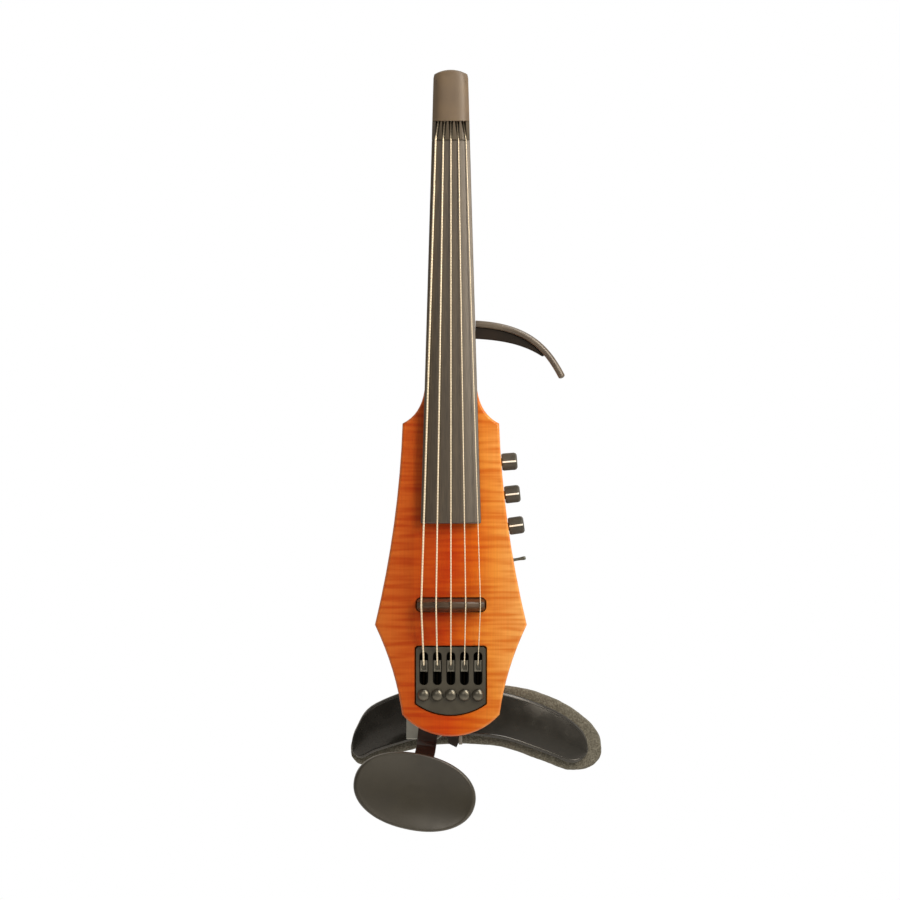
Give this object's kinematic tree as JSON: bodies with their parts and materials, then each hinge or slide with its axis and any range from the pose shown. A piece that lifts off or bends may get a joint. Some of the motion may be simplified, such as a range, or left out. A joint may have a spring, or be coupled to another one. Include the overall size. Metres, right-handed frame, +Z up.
{
  "type": "electric violin",
  "caption": "Headless fretless solid-body electric violin with tail tuning machine, side controls, side arm, shoulder rest and chin rest.",
  "frame": {"origin": "on the body's flat back, on its centreline, 190 mm above the body's lower end, where a stand or bracket holds it", "axes": "+Z up along the neck, +Y out of the flat back, +X to the side of the knobs; the strings face -Y"},
  "size_m": [0.1823, 0.1044, 0.5401],
  "materials": {
    "flamed_maple": "gloss",
    "neck_maple": "satin",
    "ebony": "satin",
    "satin_black": "satin",
    "head_cap": "satin",
    "plate_black": "satin",
    "knob_black": "satin",
    "arm_black": "satin",
    "chin_black": "satin",
    "gloss_black": "gloss",
    "foam": "matte",
    "painted_steel": "satin",
    "string_steel": "satin",
    "nickel": "satin",
    "brass": "satin",
    "black_brass": "satin",
    "aluminium": "satin",
    "circuit_board": "satin",
    "battery_case": "gloss"
  },
  "bodies": {
    "violin": {"body": "flamed_maple", "neck": "neck_maple", "fingerboard": "ebony", "nut_block": "satin_black", "head_cap": "head_cap", "string_anchor": "brass", "bridge": "ebony", "bridge_pickup": "brass", "tail_plate": "plate_black", "tuner_base": "satin_black", "volume_pot": "nickel", "treble_pot": "nickel", "bass_pot": "nickel", "mode_switch_body": "nickel", "preamp_board": "circuit_board", "output_jack": "nickel", "battery": "battery_case", "control_cover": "satin_black", "cover_screw_1": "nickel", "cover_screw_2": "nickel", "side_arm": "arm_black", "arm_rib": "arm_black", "rest_bracket": "satin_black", "string_1": "string_steel", "string_2": "string_steel", "string_3": "string_steel", "string_4": "string_steel", "string_5": "string_steel"},
    "rest_hub": {"rest_hub": "satin_black", "rest_clip": "nickel"},
    "shoulder_rest": {"rest_shell": "gloss_black", "rest_pad": "foam", "rest_plate": "aluminium"},
    "chin_strap": {"chin_strap": "painted_steel"},
    "chin_rest": {"chin_plate": "chin_black", "chin_pivot": "satin_black"},
    "chin_clamp": {"chin_clamp_screw": "satin_black"},
    "battery_door": {"battery_door": "satin_black"},
    "mode_switch": {"mode_switch_lever": "nickel"},
    "volume_knob": {"volume_knob": "knob_black"},
    "treble_knob": {"treble_knob": "knob_black"},
    "bass_knob": {"bass_knob": "knob_black"},
    "tuning_knob_1": {"tuning_knob_1": "black_brass"},
    "lead_screw_1": {"lead_screw_1": "brass"},
    "carriage_1": {"carriage_1": "aluminium"},
    "tuning_knob_2": {"tuning_knob_2": "black_brass"},
    "lead_screw_2": {"lead_screw_2": "brass"},
    "carriage_2": {"carriage_2": "aluminium"},
    "tuning_knob_3": {"tuning_knob_3": "black_brass"},
    "lead_screw_3": {"lead_screw_3": "brass"},
    "carriage_3": {"carriage_3": "aluminium"},
    "tuning_knob_4": {"tuning_knob_4": "black_brass"},
    "lead_screw_4": {"lead_screw_4": "brass"},
    "carriage_4": {"carriage_4": "aluminium"},
    "tuning_knob_5": {"tuning_knob_5": "black_brass"},
    "lead_screw_5": {"lead_screw_5": "brass"},
    "carriage_5": {"carriage_5": "aluminium"}
  },
  "joints": [
    {"name": "volume_turn", "type": "hinge", "parent": "violin", "child": "volume_knob", "pos_m": [0.0358, -0.017, 0.0045], "axis": [0.9972, 0, 0.0742], "range_deg": [-150, 150]},
    {"name": "treble_turn", "type": "hinge", "parent": "violin", "child": "treble_knob", "pos_m": [0.03793, -0.017, -0.0188], "axis": [0.9942, 0, 0.1071], "range_deg": [-150, 150]},
    {"name": "bass_turn", "type": "hinge", "parent": "violin", "child": "bass_knob", "pos_m": [0.0407, -0.017, -0.0412], "axis": [0.9904, 0, 0.1385], "range_deg": [-150, 150]},
    {"name": "mode_switch_throw", "type": "hinge", "parent": "violin", "child": "mode_switch", "pos_m": [0.04305, -0.017, -0.06524], "axis": [0, 1, 0], "range_deg": [-13, 13]},
    {"name": "battery_door_swing", "type": "hinge", "parent": "violin", "child": "battery_door", "pos_m": [-0.01025, -0.00115, -0.0855], "axis": [-1, 0, 0], "range_deg": [0, 100]},
    {"name": "chin_strap_slide", "type": "slide", "parent": "violin", "child": "chin_strap", "axis": [0, 0, 1], "range_m": [-0.008, 0.004]},
    {"name": "chin_rest_turn", "type": "hinge", "parent": "chin_strap", "child": "chin_rest", "pos_m": [-0.0257, -0.02, -0.2293], "axis": [0, 1, 0], "range_deg": [-20, 20]},
    {"name": "chin_clamp_turn", "type": "hinge", "parent": "violin", "child": "chin_clamp", "pos_m": [-0.0145, 0, -0.166], "axis": [0, 1, 0], "range_deg": [-180, 180]},
    {"name": "rest_tilt", "type": "hinge", "parent": "violin", "child": "rest_hub", "pos_m": [0.0018, 0.011, -0.185], "axis": [-1, 0, 0], "range_deg": [-4, 18]},
    {"name": "rest_turn", "type": "hinge", "parent": "rest_hub", "child": "shoulder_rest", "pos_m": [0.0018, 0.019, -0.186], "axis": [0, 1, 0], "range_deg": [-15, 15]},
    {"name": "tuner_turn_1", "type": "hinge", "parent": "violin", "child": "tuning_knob_1", "pos_m": [-0.0192, -0.0238, -0.1605], "axis": [0, -1, 0], "range_deg": [-720, 720]},
    {"name": "lead_screw_turn_1", "type": "hinge", "parent": "violin", "child": "lead_screw_1", "pos_m": [-0.0192, -0.0238, -0.1605], "axis": [0, 0, 1], "range_deg": [-720, 720]},
    {"name": "carriage_slide_1", "type": "slide", "parent": "violin", "child": "carriage_1", "axis": [0, 0, 1], "range_m": [-0.0014, 0.0014]},
    {"name": "tuner_turn_2", "type": "hinge", "parent": "violin", "child": "tuning_knob_2", "pos_m": [-0.0096, -0.0238, -0.1605], "axis": [0, -1, 0], "range_deg": [-720, 720]},
    {"name": "lead_screw_turn_2", "type": "hinge", "parent": "violin", "child": "lead_screw_2", "pos_m": [-0.0096, -0.0238, -0.1605], "axis": [0, 0, 1], "range_deg": [-720, 720]},
    {"name": "carriage_slide_2", "type": "slide", "parent": "violin", "child": "carriage_2", "axis": [0, 0, 1], "range_m": [-0.0014, 0.0014]},
    {"name": "tuner_turn_3", "type": "hinge", "parent": "violin", "child": "tuning_knob_3", "pos_m": [0, -0.0238, -0.1605], "axis": [0, -1, 0], "range_deg": [-720, 720]},
    {"name": "lead_screw_turn_3", "type": "hinge", "parent": "violin", "child": "lead_screw_3", "pos_m": [0, -0.0238, -0.1605], "axis": [0, 0, 1], "range_deg": [-720, 720]},
    {"name": "carriage_slide_3", "type": "slide", "parent": "violin", "child": "carriage_3", "axis": [0, 0, 1], "range_m": [-0.0014, 0.0014]},
    {"name": "tuner_turn_4", "type": "hinge", "parent": "violin", "child": "tuning_knob_4", "pos_m": [0.0096, -0.0238, -0.1605], "axis": [0, -1, 0], "range_deg": [-720, 720]},
    {"name": "lead_screw_turn_4", "type": "hinge", "parent": "violin", "child": "lead_screw_4", "pos_m": [0.0096, -0.0238, -0.1605], "axis": [0, 0, 1], "range_deg": [-720, 720]},
    {"name": "carriage_slide_4", "type": "slide", "parent": "violin", "child": "carriage_4", "axis": [0, 0, 1], "range_m": [-0.0014, 0.0014]},
    {"name": "tuner_turn_5", "type": "hinge", "parent": "violin", "child": "tuning_knob_5", "pos_m": [0.0192, -0.0238, -0.1605], "axis": [0, -1, 0], "range_deg": [-720, 720]},
    {"name": "lead_screw_turn_5", "type": "hinge", "parent": "violin", "child": "lead_screw_5", "pos_m": [0.0192, -0.0238, -0.1605], "axis": [0, 0, 1], "range_deg": [-720, 720]},
    {"name": "carriage_slide_5", "type": "slide", "parent": "violin", "child": "carriage_5", "axis": [0, 0, 1], "range_m": [-0.0014, 0.0014]}
  ],
  "couplings": [
    {"joint": "lead_screw_turn_1", "follows": "tuner_turn_1", "ratio": -1},
    {"joint": "carriage_slide_1", "follows": "tuner_turn_1", "m_per_rad": 0.0001114},
    {"joint": "lead_screw_turn_2", "follows": "tuner_turn_2", "ratio": -1},
    {"joint": "carriage_slide_2", "follows": "tuner_turn_2", "m_per_rad": 0.0001114},
    {"joint": "lead_screw_turn_3", "follows": "tuner_turn_3", "ratio": -1},
    {"joint": "carriage_slide_3", "follows": "tuner_turn_3", "m_per_rad": 0.0001114},
    {"joint": "lead_screw_turn_4", "follows": "tuner_turn_4", "ratio": -1},
    {"joint": "carriage_slide_4", "follows": "tuner_turn_4", "m_per_rad": 0.0001114},
    {"joint": "lead_screw_turn_5", "follows": "tuner_turn_5", "ratio": -1},
    {"joint": "carriage_slide_5", "follows": "tuner_turn_5", "m_per_rad": 0.0001114}
  ]
}
